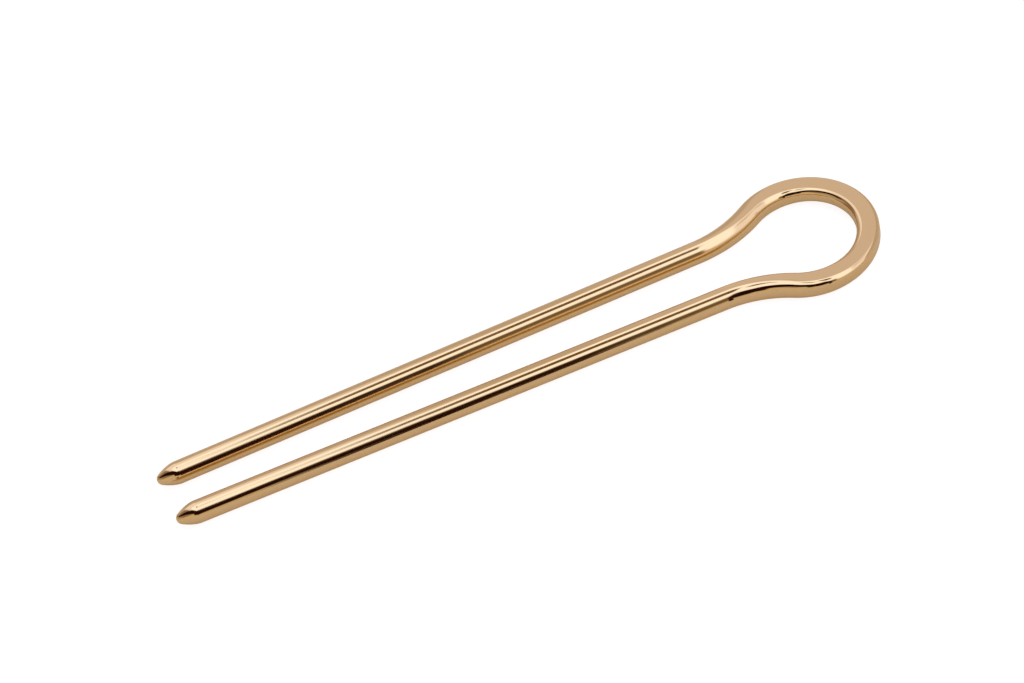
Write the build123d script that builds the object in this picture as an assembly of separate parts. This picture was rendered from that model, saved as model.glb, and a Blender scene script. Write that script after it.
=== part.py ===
from build123d import *
import math
import os

# A two-prong hairpin made from one length of round wire: two straight prongs with bullet tips, a
# shoulder bend on each, and an open loop for a head. The head is forged flat on top and underneath,
# and the wire goes over from round to flat along the shoulders and the flanks of the loop.
# Lengths are millimetres and angles are degrees. The pin lies on its prongs: X runs from the tips to
# the crown of the loop, Z is up, and the origin is under the middle of the pin on the surface below.

# The wire and the outline of the pin, along the middle of the wire
overall_length = 105.4
wire_diameter = 3.2
loop_radius = 9.0
shoulder_radius = 18.2
tip_spacing = 7.9
prong_lean = 0.68

# The forged head: its full section, and how far that section reaches on each side of the crown
head_width = 3.2
head_thickness = 2.4
head_edge_radius = 0.65
full_flat_reach = 45.0

# The run from round to flat: the slice of the round wire that each flat opens from, and the number
# of steps that the change is drawn in
round_slice = 12.0
flattening_steps = 10

# The bullet tips: slope where the taper breaks from the wire, slope where it meets the ball nose,
# the nose itself, and the softening of the break
tip_break_slope = 10.0
tip_nose_slope = 30.0
tip_nose_radius = 0.85
tip_break_radius = 3.6

wire_radius = wire_diameter / 2
tip_x = -overall_length / 2
loop_x = overall_length / 2 - loop_radius - head_width / 2
loop_centre = Vector(loop_x, 0, wire_radius)


def sine(angle):
    return math.sin(math.radians(angle))


def cosine(angle):
    return math.cos(math.radians(angle))


def mix(start, end, share):
    return start + (end - start) * share


def ease(share):
    """Runs from 0 to 1 with no slope at either end."""
    return share * share * (3 - 2 * share)


def bowed_edge(start, middle, end):
    """An arc through three points, or a line where they lie on one."""
    if start[0] == middle[0] or start[1] == middle[1]:
        return Line(start, end)
    return ThreePointArc(start, middle, end)


def wire_section(flatness):
    """Section of the wire, round at 0 and fully forged at 1: eight arcs that run smoothly into each other.

    X is across the wire in the plane of the pin, and Y is its thickness. Each flat and each side opens
    from a slice of the round wire, and loses its bow as it widens."""
    slice_angle = round_slice * (1 - flatness)
    corner_radius = mix(wire_radius, head_edge_radius, flatness)
    flat_half = mix(wire_radius * sine(round_slice), head_width / 2 - head_edge_radius, flatness)
    side_half = mix(wire_radius * sine(round_slice), head_thickness / 2 - head_edge_radius, flatness)
    corner_x = flat_half - corner_radius * sine(slice_angle)
    corner_y = side_half - corner_radius * sine(slice_angle)
    side_x = corner_x + corner_radius * cosine(slice_angle)
    flat_y = corner_y + corner_radius * cosine(slice_angle)
    bow_share = math.tan(math.radians(slice_angle / 2))

    flat = bowed_edge((-flat_half, flat_y), (0, flat_y + flat_half * bow_share), (flat_half, flat_y))
    side = bowed_edge((side_x, side_half), (side_x + side_half * bow_share, 0), (side_x, -side_half))
    corner_middle = (corner_x + corner_radius * cosine(45), corner_y + corner_radius * sine(45))
    corner = ThreePointArc((flat_half, flat_y), corner_middle, (side_x, side_half))
    right_half = [corner, side, mirror(corner, about=Plane.XZ)]
    left_half = [mirror(edge, about=Plane.YZ) for edge in right_half]
    return make_face([flat, *right_half, mirror(flat, about=Plane.XZ), *left_half])


def across(point, direction):
    """Plane square to the wire, with X across it and Y up."""
    return Plane(origin=point, x_dir=Vector(0, 0, 1).cross(direction), z_dir=direction)


# Middle line of one prong: it starts at the tip and leans out towards the head. The shoulder bend
# touches this line and, from outside, the circle of the loop.
prong_tip = Vector(tip_x, tip_spacing / 2, wire_radius)
prong_direction = Vector(cosine(prong_lean), sine(prong_lean), 0)
outward = Vector(-sine(prong_lean), cosine(prong_lean), 0)
from_loop = prong_tip + outward * shoulder_radius - loop_centre
along = from_loop.dot(prong_direction)
bend_reach = loop_radius + shoulder_radius
prong_length = -along - math.sqrt(along**2 - from_loop.dot(from_loop) + bend_reach**2)
bend_centre = prong_tip + prong_direction * prong_length + outward * shoulder_radius
loop_start = math.degrees(math.atan2(bend_centre.Y, bend_centre.X - loop_x))

shoulder_start = prong_lean - 90
shoulder_turn = loop_start - 180 - shoulder_start
shoulder_bend = CenterArc(bend_centre, shoulder_radius, shoulder_start, shoulder_turn)
loop_flank = CenterArc(loop_centre, loop_radius, loop_start, full_flat_reach - loop_start)


def flattened_shoulder():
    """The shoulder and the flank of the loop, from the round wire to the full flats."""
    total = shoulder_bend.length + loop_flank.length
    sections = []
    for step in range(flattening_steps + 1):
        share = step / flattening_steps
        distance = share * total
        bend, start = shoulder_bend, 0
        if distance > shoulder_bend.length:
            bend, start = loop_flank, shoulder_bend.length
        place = (distance - start) / bend.length
        sections.append(across(bend @ place, bend % place) * wire_section(ease(share)))
    return loft(sections)


def crown():
    """The forged part of the loop with its full section, turned about the middle of the loop."""
    profile = across(loop_flank @ 1, loop_flank % 1) * wire_section(1)
    return revolve(profile, axis=Axis(loop_centre, (0, 0, -1)), revolution_arc=2 * full_flat_reach)


def prong():
    """A straight prong and its bullet tip, turned about the prong's own middle line."""
    taper_radius = (wire_radius - tip_nose_radius * cosine(tip_nose_slope)) / (
        cosine(tip_break_slope) - cosine(tip_nose_slope)
    )
    nose_end_x = tip_nose_radius * (1 - sine(tip_nose_slope))
    nose_end_y = tip_nose_radius * cosine(tip_nose_slope)
    tip_length = nose_end_x + taper_radius * (sine(tip_nose_slope) - sine(tip_break_slope))
    nose_half_slope = (90 + tip_nose_slope) / 2
    nose_middle = (tip_nose_radius * (1 - sine(nose_half_slope)), tip_nose_radius * cosine(nose_half_slope))
    taper_middle_slope = (tip_nose_slope + tip_break_slope) / 2
    taper_middle = (
        nose_end_x + taper_radius * (sine(tip_nose_slope) - sine(taper_middle_slope)),
        nose_end_y + taper_radius * (cosine(taper_middle_slope) - cosine(tip_nose_slope)),
    )
    break_point = (tip_length, wire_radius)

    nose = ThreePointArc((0, 0), nose_middle, (nose_end_x, nose_end_y))
    taper = ThreePointArc((nose_end_x, nose_end_y), taper_middle, break_point)
    wall = Polyline(break_point, (prong_length, wire_radius), (prong_length, 0), (0, 0))
    profile = make_face([nose, taper, wall])
    profile = fillet(profile.vertices().sort_by_distance(break_point)[0], tip_break_radius)
    lying = Plane(origin=prong_tip, x_dir=prong_direction, z_dir=(0, 0, 1))
    return revolve(lying * profile, axis=Axis(prong_tip, prong_direction))


one_side = [prong(), flattened_shoulder()]
other_side = [mirror(piece, about=Plane.XZ) for piece in one_side]
hairpin = crown().fuse(*one_side, *other_side).clean()

os.makedirs("parts", exist_ok=True)
export_step(hairpin, "parts/hairpin.step")
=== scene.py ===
import math
import bpy
import numpy as np
from mathutils import Matrix


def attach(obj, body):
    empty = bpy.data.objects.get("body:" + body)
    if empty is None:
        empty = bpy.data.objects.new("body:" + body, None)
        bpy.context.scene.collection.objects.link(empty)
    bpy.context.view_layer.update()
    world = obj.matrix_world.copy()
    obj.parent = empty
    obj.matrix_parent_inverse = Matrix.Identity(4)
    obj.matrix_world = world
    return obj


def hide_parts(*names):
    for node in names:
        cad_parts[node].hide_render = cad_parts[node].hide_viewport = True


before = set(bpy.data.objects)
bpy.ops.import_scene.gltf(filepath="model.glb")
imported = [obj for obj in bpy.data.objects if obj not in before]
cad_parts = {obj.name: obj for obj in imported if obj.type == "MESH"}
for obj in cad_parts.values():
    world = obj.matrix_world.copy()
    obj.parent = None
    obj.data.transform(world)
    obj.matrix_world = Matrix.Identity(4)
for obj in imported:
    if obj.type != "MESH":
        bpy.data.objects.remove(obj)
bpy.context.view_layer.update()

# The hairpin: one length of round gold-coloured wire with bullet tips. It is bent to two prongs and
# an open keyhole loop, the loop is forged flat on top and underneath, and all of it is polished.
mm = 0.001
overall_length = 105.4 * mm
wire_radius = 1.6 * mm
loop_radius = 9.0 * mm
shoulder_radius = 18.2 * mm
tip_spacing = 7.9 * mm
prong_lean = math.radians(0.68)
head_width = 3.2 * mm
head_thickness = 2.4 * mm
head_edge_radius = 0.65 * mm
inner_edge_roll = 0.25 * mm
full_flat_reach = math.radians(45.0)
round_slice = math.radians(12.0)
least_bow = 1e-5
tip_break_slope = math.radians(10.0)
tip_nose_slope = math.radians(30.0)
tip_nose_radius = 0.85 * mm
tip_break_radius = 3.6 * mm

loop_x = overall_length / 2 - loop_radius - head_width / 2
prong_tip = np.array([-overall_length / 2, tip_spacing / 2])
prong_heading = np.array([math.cos(prong_lean), math.sin(prong_lean)])
prong_outward = np.array([-prong_heading[1], prong_heading[0]])

# The shoulder bend touches the prong's middle line and, from outside, the circle of the loop
from_loop = prong_tip + prong_outward * shoulder_radius - [loop_x, 0]
beside = from_loop @ prong_heading
bend_reach = loop_radius + shoulder_radius
prong_length = -beside - math.sqrt(beside**2 - from_loop @ from_loop + bend_reach**2)
bend_centre = prong_tip + prong_heading * prong_length + prong_outward * shoulder_radius
loop_start = math.atan2(bend_centre[1], bend_centre[0] - loop_x)
shoulder_start = prong_lean - math.pi / 2
shoulder_run = shoulder_radius * (loop_start - math.pi - shoulder_start)
flank_run = loop_radius * (loop_start - full_flat_reach)

# The tip's profile is three arcs, each with a middle and a radius: ball nose, long taper, soft break
taper_radius = (wire_radius - tip_nose_radius * math.cos(tip_nose_slope)) / (
    math.cos(tip_break_slope) - math.cos(tip_nose_slope)
)
taper_out = taper_radius - tip_nose_radius
taper_centre = (
    tip_nose_radius + taper_out * math.sin(tip_nose_slope),
    -taper_out * math.cos(tip_nose_slope),
)
break_drop = wire_radius - tip_break_radius - taper_centre[1]
break_back = math.sqrt((taper_radius - tip_break_radius) ** 2 - break_drop**2)
break_centre = (taper_centre[0] - break_back, wire_radius - tip_break_radius)
break_slope = math.atan2(break_back, break_drop)


def on_circle(middle, reach, angle):
    """Places on a circle: its middle plus its reach times the cosine and the sine of the angle."""
    return np.asarray(middle) + reach * np.stack([np.cos(angle), np.sin(angle)], -1)


def half_wire(run):
    """One side of the pin, from the point of its tip to the middle of the crown.

    Run counts six stretches: nose, taper and break of the tip, prong, shoulder with flank, and crown.
    On the tip, place and girth are an arc's middle plus its radius times sine and cosine of the slope.
    On the bends, the place is an arc's middle plus its radius at an angle that grows with the distance.
    The flatness rises from 0 to 1 along shoulder and flank, with no slope at either end.
    Gives distance along the wire, middle line, heading, girth and flatness, one row for each run."""
    stretch = np.clip(np.floor(run), 0, 5)
    share = run - stretch
    on_nose, on_taper, on_break, on_prong, on_bend, on_crown = [stretch == k for k in range(6)]

    tip_parts = [on_nose, on_taper, on_break]
    slope = np.select(
        tip_parts,
        [
            math.pi / 2 + (tip_nose_slope - math.pi / 2) * share,
            tip_nose_slope + (break_slope - tip_nose_slope) * share,
            break_slope * (1 - share),
        ],
        0.0,
    )
    tip_arcs = [
        (tip_nose_radius, tip_nose_radius, 0.0),
        (taper_radius, *taper_centre),
        (tip_break_radius, *break_centre),
    ]
    radius, centre_x, centre_y = [np.select(tip_parts, values, 0.0) for values in zip(*tip_arcs)]
    on_tip = on_nose | on_taper | on_break
    straight = break_centre[0] + (prong_length - break_centre[0]) * share
    from_point = np.where(on_tip, centre_x - radius * np.sin(slope), straight)
    girth = np.where(on_tip, (centre_y + radius * np.cos(slope)) / wire_radius, 1.0)

    bent = np.where(on_bend, share * (shoulder_run + flank_run), 0.0)
    shoulder_angle = shoulder_start + bent / shoulder_radius
    flank_angle = loop_start - (bent - shoulder_run) / loop_radius
    crown_angle = full_flat_reach * (1 - share)
    loop_angle = np.where(on_bend, flank_angle, crown_angle)

    unbent = on_tip | on_prong
    on_shoulder = on_bend & (bent < shoulder_run)
    middle = np.where(
        unbent[:, None],
        prong_tip + from_point[:, None] * prong_heading,
        np.where(
            on_shoulder[:, None],
            on_circle(bend_centre, shoulder_radius, shoulder_angle),
            on_circle((loop_x, 0), loop_radius, loop_angle),
        ),
    )
    heading = np.where(
        unbent[:, None],
        prong_heading,
        np.where(
            on_shoulder[:, None],
            on_circle((0, 0), 1.0, shoulder_angle + math.pi / 2),
            on_circle((0, 0), 1.0, loop_angle - math.pi / 2),
        ),
    )
    to_flat = np.where(on_bend, share, on_crown)
    flatness = to_flat**2 * (3 - 2 * to_flat)
    to_crown = flank_run + shoulder_run + loop_radius * full_flat_reach * share
    distance = np.where(unbent, from_point, prong_length + np.where(on_crown, to_crown, bent))
    return distance, middle, heading, girth, flatness


def forged_section(flatness, around):
    """Section of the wire, a circle at flatness 0 and a rectangle with soft edges at 1.

    Around counts eight arcs that run smoothly into each other: outer side, corner, upper flat, corner,
    inner side, corner, lower flat and corner. Each flat and side opens from a slice of the circle and
    loses its bow as it widens, and the corner arcs close in from the radius of the wire to that of the
    edge. Towards full flatness the two corners on the inside of the loop stay rounder by a small roll."""
    bow = np.maximum(round_slice * (1 - flatness), least_bow)
    sliver = wire_radius * math.sin(round_slice)
    arc = np.floor(around).astype(int) % 8
    share = around - np.floor(around)
    turn = (2 * share - 1) * bow
    swell = (np.cos(turn) - np.cos(bow)) / np.sin(bow)
    across = np.sin(turn) / np.sin(bow)
    sweep = bow + (math.pi / 2 - 2 * bow) * share

    def half_section(edge):
        """One half, for one radius of its edge: half of the flat, its height, the side and the corners.

        The corner's middle lies where its arc meets the flat and the side with their own slopes. The
        corner is given twice, rising from the side to the flat and falling from the flat to the side."""
        corner = wire_radius + (edge - wire_radius) * flatness
        flat_half = sliver + (head_width / 2 - edge - sliver) * flatness
        side_half = sliver + (head_thickness / 2 - edge - sliver) * flatness
        middle_x = flat_half - corner * np.sin(bow)
        middle_y = side_half - corner * np.sin(bow)
        top = middle_y + corner * np.cos(bow)
        side = middle_x + corner * np.cos(bow) + side_half * swell, side_half * across
        rising = middle_x + corner * np.cos(sweep), middle_y + corner * np.sin(sweep)
        falling = middle_x + corner * np.sin(sweep), middle_y + corner * np.cos(sweep)
        return flat_half, top, side, rising, falling

    inner_edge = head_edge_radius + inner_edge_roll * flatness**3
    outer_half, outer_top, outer_side, outer_rising, outer_falling = half_section(head_edge_radius)
    inner_half, inner_top, inner_side, inner_rising, inner_falling = half_section(inner_edge)
    flat_middle = (outer_half - inner_half) / 2
    flat_half = (outer_half + inner_half) / 2
    inward = outer_top + (inner_top - outer_top) * share
    outward = inner_top + (outer_top - inner_top) * share
    upper_flat = flat_middle - flat_half * across, inward + flat_half * swell
    lower_flat = flat_middle + flat_half * across, outward + flat_half * swell

    upper_arcs = [outer_side, outer_rising, upper_flat, inner_falling]
    lower_arcs = [inner_side, inner_rising, lower_flat, outer_falling]
    right, up = [
        np.choose(arc, np.broadcast_arrays(*values)) for values in zip(*upper_arcs, *lower_arcs)
    ]
    on_inside = (arc > 2) & (arc < 6)
    on_top = arc < 4
    return np.stack([right * np.where(on_inside, -1, 1), up * np.where(on_top, 1, -1)], -1)


def pin_skin(run, around):
    """Surface of one side: the section, drawn in to the girth, carried square along the middle line.

    Gives the points, and the same points on the straight wire before it was bent."""
    distance, middle, heading, girth, flatness = half_wire(run)
    section = forged_section(flatness[:, None], around[None, :]) * girth[:, None, None]
    across = np.stack([-heading[:, 1], heading[:, 0]], -1)
    level = middle[:, None, :] + section[..., :1] * across[:, None, :]
    bent = np.concatenate([level, wire_radius + section[..., 1:]], -1)
    along = np.broadcast_to(distance[:, None, None], section[..., :1].shape)
    return bent, np.concatenate([along, section], -1)


# Stations along one side, and places round the section, closest where the reflections turn fastest
stations_on_stretches = (14, 14, 8, 60, 200, 60)
places_on_arcs = (6, 18, 6, 18, 6, 18, 6, 18)
nudge = 1e-4
stations = np.concatenate([k + np.arange(1, n + 1) / n for k, n in enumerate(stations_on_stretches)])
places = np.concatenate([k + np.arange(n) / n for k, n in enumerate(places_on_arcs)])
skin, straight_wire = pin_skin(stations, places)
lengthways = pin_skin(stations + nudge, places)[0] - pin_skin(stations - nudge, places)[0]
crossways = pin_skin(stations, places + nudge)[0] - pin_skin(stations, places - nudge)[0]
facing = np.cross(crossways, lengthways)
facing /= np.linalg.norm(facing, axis=-1, keepdims=True)

# The other side is the mirror image, joined on at the middle of the crown and followed back to its tip
wire_run = straight_wire[-1, 0, 0]
straight_back = [2 * wire_run, 0, 0] + straight_wire[-2::-1] * [-1, 1, 1]
skin = np.concatenate([skin, skin[-2::-1] * [1, -1, 1]])
facing = np.concatenate([facing, facing[-2::-1] * [1, -1, 1]])
straight_wire = np.concatenate([straight_wire, straight_back])
rows, ring = skin.shape[:2]
points_of_tips = [(*prong_tip, wire_radius), (*prong_tip * [1, -1], wire_radius)]
tip_facing = [(*-prong_heading, 0), (*-prong_heading * [1, -1], 0)]
points = np.concatenate([skin.reshape(-1, 3), points_of_tips])
facing = np.concatenate([facing.reshape(-1, 3), tip_facing])
straight_wire = np.concatenate([straight_wire.reshape(-1, 3), [(0, 0, 0), (2 * wire_run, 0, 0)]])

index = np.arange(rows * ring).reshape(rows, ring)
following = np.roll(index, -1, axis=1)
quads = np.stack([index[:-1], following[:-1], following[1:], index[1:]], -1).reshape(-1, 4)
first_point, last_point = rows * ring, rows * ring + 1
first_fan = np.stack([np.full(ring, first_point), following[0], index[0]], -1)
last_fan = np.stack([np.full(ring, last_point), index[-1], following[-1]], -1)
faces = quads.tolist() + first_fan.tolist() + last_fan.tolist()

pin_mesh = bpy.data.meshes.new("polished_hairpin")
pin_mesh.from_pydata(points.tolist(), [], faces, shade_flat=False)
pin_mesh.normals_split_custom_set_from_vertices(facing.tolist())
wire_place = pin_mesh.attributes.new("straight_wire", "FLOAT_VECTOR", "POINT")
wire_place.data.foreach_set("vector", straight_wire.ravel())
hairpin = bpy.data.objects.new("polished_hairpin", pin_mesh)
bpy.context.scene.collection.objects.link(hairpin)


def add_node(tree, kind, inputs=None, **settings):
    """Adds a node, sets its options, and sets each named input or links it to another node's output."""
    node = tree.nodes.new(kind)
    for name, value in settings.items():
        setattr(node, name, value)
    for name, value in (inputs or {}).items():
        if isinstance(value, bpy.types.NodeSocket):
            tree.links.new(value, node.inputs[name])
        else:
            node.inputs[name].default_value = value
    return node


# The finish: a warm gold that drifts between a deeper and a paler tone, hairlines from the polishing
# mop that run along the wire and round its bends, and the faint waves that hand polishing leaves.
deep_gold = (0.865, 0.603, 0.320, 1.0)
pale_gold = (0.885, 0.627, 0.350, 1.0)
drifts_per_metre = 90.0
drift_detail = 3.0
hairlines_per_metre = (90.0, 6500.0, 6500.0)
hairline_detail = 4.0
hairline_low, hairline_high = 0.3, 0.7
hairline_height = 0.0002 * mm
finest_polish, coarsest_polish = 0.045, 0.105
waves_per_metre = (130.0, 330.0, 330.0)
wave_detail = 1.0
wave_height = 0.012 * mm

polished_gold = bpy.data.materials.new("polished_gold")
polished_gold.use_nodes = True
gold = polished_gold.node_tree
gold.nodes.clear()
on_wire = add_node(gold, "ShaderNodeAttribute", attribute_name="straight_wire").outputs["Vector"]
on_object = add_node(gold, "ShaderNodeTexCoord").outputs["Object"]

drift = add_node(
    gold, "ShaderNodeTexNoise", {"Vector": on_object, "Scale": drifts_per_metre, "Detail": drift_detail}
)
gold_tone = add_node(
    gold,
    "ShaderNodeMix",
    {"Factor": drift.outputs["Fac"], "A": deep_gold, "B": pale_gold},
    data_type="RGBA",
)

mop_stretch = add_node(
    gold, "ShaderNodeMapping", {"Vector": on_wire, "Scale": hairlines_per_metre}, vector_type="POINT"
)
hairlines = add_node(
    gold,
    "ShaderNodeTexNoise",
    {"Vector": mop_stretch.outputs["Vector"], "Scale": 1.0, "Detail": hairline_detail},
)
sheen = add_node(
    gold,
    "ShaderNodeMapRange",
    {
        "Value": hairlines.outputs["Fac"],
        "From Min": hairline_low,
        "From Max": hairline_high,
        "To Min": finest_polish,
        "To Max": coarsest_polish,
    },
)
wave_stretch = add_node(
    gold, "ShaderNodeMapping", {"Vector": on_wire, "Scale": waves_per_metre}, vector_type="POINT"
)
waves = add_node(
    gold,
    "ShaderNodeTexNoise",
    {"Vector": wave_stretch.outputs["Vector"], "Scale": 1.0, "Detail": wave_detail},
)
wave_bump = add_node(
    gold, "ShaderNodeBump", {"Height": waves.outputs["Fac"], "Strength": 1.0, "Distance": wave_height}
)
line_bump = add_node(
    gold,
    "ShaderNodeBump",
    {
        "Height": hairlines.outputs["Fac"],
        "Strength": 1.0,
        "Distance": hairline_height,
        "Normal": wave_bump.outputs["Normal"],
    },
)
gold_shader = add_node(
    gold,
    "ShaderNodeBsdfPrincipled",
    {
        "Base Color": gold_tone.outputs["Result"],
        "Metallic": 1.0,
        "Roughness": sheen.outputs["Result"],
        "Normal": line_bump.outputs["Normal"],
    },
)
add_node(gold, "ShaderNodeOutputMaterial", {"Surface": gold_shader.outputs["BSDF"]})
pin_mesh.materials.append(polished_gold)

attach(hairpin, "root")
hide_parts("hairpin")

# The table: a plain white sweep that the pin lies on. It is white to the camera with a soft shadow
# under the pin. The polished metal mirrors it as a warm mid tone that keeps the pin's own shadow.
# Between the prongs, behind the front prong, its colour is painted a darker gold: painted light and shade
# for the light that reaches it off the front prong and the shade that prong casts.
table_half = 2.0
table_white = (1.0, 1.0, 1.0, 1.0)
table_brightness = 1.18
shadow_depth = 0.30
table_in_metal = (0.12, 0.105, 0.082, 1.0)
table_tone = (0.72, 0.65, 0.53, 1.0)
# Painted light and shade: the darker gold that the table shows in the metal between the prongs
painted_gold_light_and_shade = (0.46, 0.32, 0.03, 1.0)
gold_light_start, gold_light_full, gold_light_end = 1.2 * mm, -1.8 * mm, -4.6 * mm
gap_left, gap_right = -overall_length / 2, loop_x + loop_radius
gap_middle, gap_half = (gap_right + gap_left) / 2, (gap_right - gap_left) / 2

table_mesh = bpy.data.meshes.new("table")
table_corners = np.array([(-1, -1, 0), (1, -1, 0), (1, 1, 0), (-1, 1, 0)]) * table_half
table_mesh.from_pydata(table_corners.tolist(), [], [(0, 1, 2, 3)])
table = bpy.data.objects.new("table", table_mesh)
bpy.context.scene.collection.objects.link(table)

white_sweep = bpy.data.materials.new("white_sweep")
white_sweep.use_nodes = True
sweep = white_sweep.node_tree
sweep.nodes.clear()
sweep_rays = add_node(sweep, "ShaderNodeLightPath")
shadowed = add_node(
    sweep, "ShaderNodeBsdfDiffuse", {"Color": (shadow_depth, shadow_depth, shadow_depth, 1.0)}
)
bright = add_node(
    sweep, "ShaderNodeEmission", {"Color": table_white, "Strength": table_brightness - shadow_depth}
)
to_camera = add_node(
    sweep, "ShaderNodeAddShader", {0: shadowed.outputs["BSDF"], 1: bright.outputs["Emission"]}
)

sweep_spot = add_node(sweep, "ShaderNodeTexCoord").outputs["Object"]
sweep_place = add_node(sweep, "ShaderNodeSeparateXYZ", {"Vector": sweep_spot})
# Painted gold light and shade: behind the front prong and along the gap, the table's colour in the metal
# turns a darker gold
gold_light = add_node(
    sweep,
    "ShaderNodeMapRange",
    {"Value": sweep_place.outputs["Y"], "From Min": gold_light_start, "From Max": gold_light_full},
    interpolation_type="SMOOTHSTEP",
)
behind_prong = add_node(
    sweep, "ShaderNodeMath", {0: sweep_place.outputs["Y"], 1: gold_light_end}, operation="GREATER_THAN"
)
along_gap = add_node(
    sweep, "ShaderNodeMath", {0: sweep_place.outputs["X"], 1: gap_middle, 2: gap_half}, operation="COMPARE"
)
in_gap = add_node(
    sweep,
    "ShaderNodeMath",
    {0: behind_prong.outputs["Value"], 1: along_gap.outputs["Value"]},
    operation="MULTIPLY",
)
painted_gold_share = add_node(
    sweep,
    "ShaderNodeMath",
    {0: gold_light.outputs["Result"], 1: in_gap.outputs["Value"]},
    operation="MULTIPLY",
)
table_with_painted_gold = add_node(
    sweep,
    "ShaderNodeMix",
    {"Factor": painted_gold_share.outputs["Value"], "A": table_tone, "B": painted_gold_light_and_shade},
    data_type="RGBA",
)
tone_in_metal = add_node(sweep, "ShaderNodeBsdfDiffuse", {"Color": table_with_painted_gold.outputs["Result"]})
glow_in_metal = add_node(sweep, "ShaderNodeEmission", {"Color": table_in_metal, "Strength": 1.0})
to_metal = add_node(
    sweep, "ShaderNodeAddShader", {0: tone_in_metal.outputs["BSDF"], 1: glow_in_metal.outputs["Emission"]}
)
sweep_mix = add_node(
    sweep,
    "ShaderNodeMixShader",
    {
        "Fac": sweep_rays.outputs["Is Glossy Ray"],
        1: to_camera.outputs["Shader"],
        2: to_metal.outputs["Shader"],
    },
)
add_node(sweep, "ShaderNodeOutputMaterial", {"Surface": sweep_mix.outputs["Shader"]})
table_mesh.materials.append(white_sweep)

# The studio: a warm grey tent, paler at both ends and in front, with a wide soft lamp that leans over
# the pin from the back to the front right. The lamp's cloth has a dark seam in two stretches and one
# dimmer fold. Dark cloth hangs on the left, and the dark of the room shows behind the camera.
wall_left = (0.26, 0.20, 0.15, 1.0)
wall_far_left = (0.46, 0.39, 0.30, 1.0)
wall_back = (0.54, 0.49, 0.47, 1.0)
wall_right = (0.69, 0.65, 0.69, 1.0)
wall_back_start, wall_back_full = math.radians(-12), math.radians(2)
front_glow = (0.63, 0.54, 0.40, 1.0)
lamp = (1.18, 1.33, 1.63, 1.0)
lamp_rim = (0.98, 1.00, 1.18, 1.0)
lamp_fold = (0.70, 0.65, 0.70, 1.0)
lamp_seam = (0.17, 0.098, 0.027, 1.0)
half_dark = (0.19, 0.135, 0.07, 1.0)
dark = (0.018, 0.003, 0.0005, 1.0)

world = bpy.data.worlds.new("studio")
world.use_nodes = True
bpy.context.scene.world = world
tent = world.node_tree
tent.nodes.clear()

# A bearing in the tent is two angles from straight up: towards the head, and towards the front
looking = add_node(tent, "ShaderNodeTexCoord").outputs["Generated"]
split = add_node(tent, "ShaderNodeSeparateXYZ", {"Vector": looking})
to_head = add_node(tent, "ShaderNodeMath", {0: split.outputs["X"]}, operation="ARCSINE")
forward = add_node(tent, "ShaderNodeMath", {0: split.outputs["Y"], 1: -1.0}, operation="MULTIPLY")
to_front = add_node(
    tent, "ShaderNodeMath", {0: forward.outputs["Value"], 1: split.outputs["Z"]}, operation="ARCTAN2"
)
bearing = add_node(
    tent, "ShaderNodeCombineXYZ", {"X": to_head.outputs["Value"], "Y": to_front.outputs["Value"]}
).outputs["Vector"]


def hung(under, colour, centre, half, turn=0.0, soft=0.3):
    """Hangs a patch of one colour in the tent: a rounded box of directions with a soft edge.

    Centre and half are degrees of bearing, towards the head and towards the front. The bearing is
    measured from the centre in halves, along the turned sides, and the patch ends where the root of the
    sum of its fourth powers reaches 1."""
    placed = add_node(
        tent,
        "ShaderNodeMapping",
        {
            "Vector": bearing,
            "Location": (*np.radians(centre), 0.0),
            "Rotation": (0.0, 0.0, math.radians(turn)),
            "Scale": (*np.radians(half), 1.0),
        },
        vector_type="TEXTURE",
    ).outputs["Vector"]
    squared = add_node(tent, "ShaderNodeVectorMath", {0: placed, 1: placed}, operation="MULTIPLY")
    reach = add_node(tent, "ShaderNodeVectorMath", {0: squared.outputs["Vector"]}, operation="LENGTH")
    cover = add_node(
        tent,
        "ShaderNodeMapRange",
        {
            "Value": reach.outputs["Value"],
            "From Min": 1 - soft,
            "From Max": 1 + soft,
            "To Min": 1.0,
            "To Max": 0.0,
        },
        interpolation_type="SMOOTHSTEP",
    )
    over = add_node(
        tent,
        "ShaderNodeMix",
        {"Factor": cover.outputs["Result"], "A": under, "B": colour},
        data_type="RGBA",
    )
    return over.outputs["Result"]


# The walls first, then the lamp from its rim inwards, then the dark, and last the seam of the lamp
to_back = add_node(
    tent,
    "ShaderNodeMapRange",
    {"Value": to_head.outputs["Value"], "From Min": wall_back_start, "From Max": wall_back_full},
    interpolation_type="SMOOTHSTEP",
)
inside = add_node(
    tent,
    "ShaderNodeMix",
    {"Factor": to_back.outputs["Result"], "A": wall_left, "B": wall_back},
    data_type="RGBA",
).outputs["Result"]
inside = hung(inside, wall_far_left, centre=(-78, 20), half=(27, 75), soft=0.4)
inside = hung(inside, wall_back, centre=(-16, -80), half=(22, 30), soft=0.4)
inside = hung(inside, wall_right, centre=(23, -40), half=(13, 70), soft=0.25)
inside = hung(inside, front_glow, centre=(0, 95), half=(130, 45), soft=0.3)
inside = hung(inside, lamp_rim, centre=(-9.5, -20), half=(16.5, 42), soft=0.3)
inside = hung(inside, lamp_rim, centre=(27, 21), half=(23, 49.5), turn=-15, soft=0.2)
inside = hung(inside, lamp_fold, centre=(28.5, -6), half=(3.5, 9), soft=0.5)
inside = hung(inside, lamp, centre=(15, 15), half=(14, 43.5), turn=-15, soft=0.25)
inside = hung(inside, lamp, centre=(-6, 5), half=(14, 27), soft=0.25)
inside = hung(inside, dark, centre=(-30, 15), half=(12.5, 45), turn=-30, soft=0.25)
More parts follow.
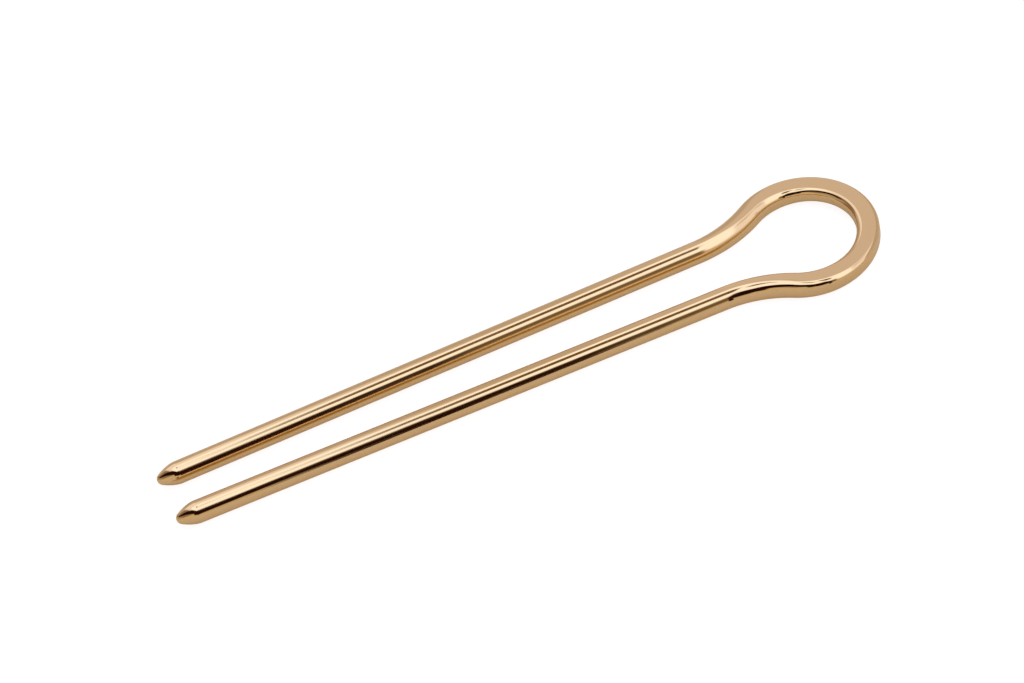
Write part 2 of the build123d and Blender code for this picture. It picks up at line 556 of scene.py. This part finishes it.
inside = hung(inside, half_dark, centre=(11, 61), half=(4.5, 17), soft=0.9)
inside = hung(inside, dark, centre=(-3, 53.5), half=(9.5, 21), soft=0.35)
inside = hung(inside, dark, centre=(6.7, 68), half=(2.3, 24), soft=0.35)
inside = hung(inside, dark, centre=(-14, 57), half=(7.5, 12), soft=0.4)
inside = hung(inside, lamp_seam, centre=(9.05, 3.6), half=(3.15, 12.3), soft=0.25)
inside = hung(inside, lamp_seam, centre=(1.2, -4), half=(2.0, 8.5), soft=0.3)

tent_rays = add_node(tent, "ShaderNodeLightPath")
tent_light = add_node(tent, "ShaderNodeBackground", {"Color": inside, "Strength": 1.0})
white_ground = add_node(tent, "ShaderNodeBackground", {"Color": table_white, "Strength": 1.0})
seen = add_node(
    tent,
    "ShaderNodeMixShader",
    {
        "Fac": tent_rays.outputs["Is Camera Ray"],
        1: tent_light.outputs["Background"],
        2: white_ground.outputs["Background"],
    },
)
add_node(tent, "ShaderNodeOutputWorld", {"Surface": seen.outputs["Shader"]})

# The camera: a long lens from the front left, well above the table and rolled a little, so that the
# pin runs from the lower left to the upper right of the picture. Film and lens are in millimetres.
picture_width = 1024
focal_pixels = 5000.0
film_width = 36.0
camera_turn = math.radians(12.505)
camera_rise = math.radians(46.892)
camera_roll = math.radians(13.275)
camera_distance = 688.09 * mm
aim_right, aim_up = 40.097 * mm, 14.391 * mm

view = bpy.data.cameras.new("view")
view.sensor_width = film_width
view.lens = focal_pixels / picture_width * film_width
camera = bpy.data.objects.new("view", view)
bpy.context.scene.collection.objects.link(camera)
facing_pin = Matrix.Rotation(-camera_turn, 4, "Z") @ Matrix.Rotation(math.pi / 2 - camera_rise, 4, "X")
facing_pin = facing_pin @ Matrix.Rotation(-camera_roll, 4, "Z")
stand = Matrix.Translation((loop_x, 0, wire_radius)) @ facing_pin
camera.matrix_world = stand @ Matrix.Translation((-aim_right, -aim_up, camera_distance))
bpy.context.scene.camera = camera
bpy.context.scene.view_settings.view_transform = "Standard"
